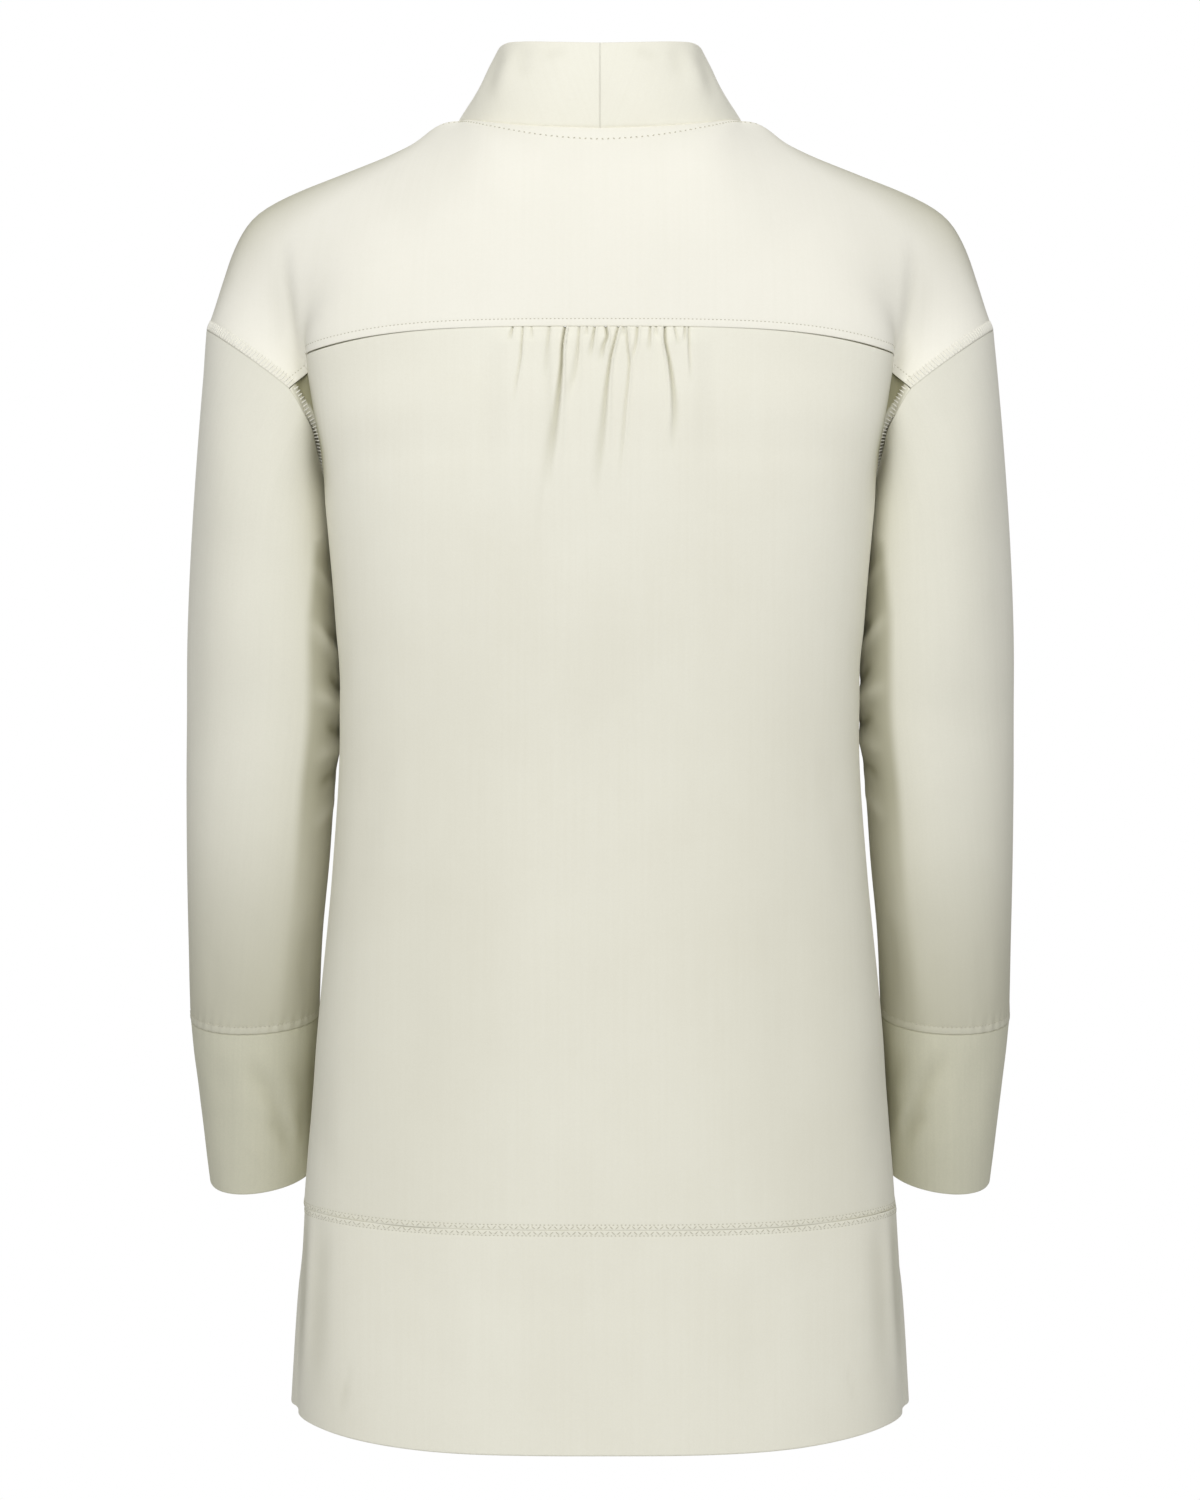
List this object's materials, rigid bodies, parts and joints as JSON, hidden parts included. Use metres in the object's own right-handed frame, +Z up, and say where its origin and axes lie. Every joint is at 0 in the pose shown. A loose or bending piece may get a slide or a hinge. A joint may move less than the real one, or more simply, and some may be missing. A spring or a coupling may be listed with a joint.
{
  "type": "long cardigan",
  "caption": "Long open-front women's cardigan in cream jersey with a stand collar, gathered back yoke, dropped full sleeves, deep cuffs and a deep hem band, filled out as worn",
  "frame": {"origin": "the middle of the neck opening, level with the points where neck and shoulders meet, where the wearer's neck and shoulders hold the garment", "axes": "+Z is up through the neck, the wearer faces -Y, and the wearer's left is +X"},
  "size_m": [0.506, 0.2398, 0.844],
  "materials": {
    "back_yoke": "smooth matt cotton jersey with a soft sheen",
    "back_body": "smooth matt cotton jersey with a soft sheen",
    "front_left": "smooth matt cotton jersey with a soft sheen",
    "front_right": "smooth matt cotton jersey with a soft sheen",
    "sleeve_left": "smooth matt cotton jersey with a soft sheen",
    "sleeve_right": "smooth matt cotton jersey with a soft sheen",
    "cuff_left": "smooth matt cotton jersey with a soft sheen",
    "cuff_right": "smooth matt cotton jersey with a soft sheen",
    "hem_band_back": "smooth matt cotton jersey with a soft sheen",
    "hem_band_left": "smooth matt cotton jersey with a soft sheen",
    "hem_band_right": "smooth matt cotton jersey with a soft sheen",
    "collar_left": "smooth matt cotton jersey with a soft sheen",
    "collar_right": "smooth matt cotton jersey with a soft sheen"
  },
  "bodies": {
    "root": {"back_yoke": "back_yoke", "back_body": "back_body", "front_left": "front_left", "front_right": "front_right", "sleeve_left": "sleeve_left", "sleeve_right": "sleeve_right", "cuff_left": "cuff_left", "cuff_right": "cuff_right", "hem_band_back": "hem_band_back", "hem_band_left": "hem_band_left", "hem_band_right": "hem_band_right", "collar_left": "collar_left", "collar_right": "collar_right"}
  },
  "joints": []
}
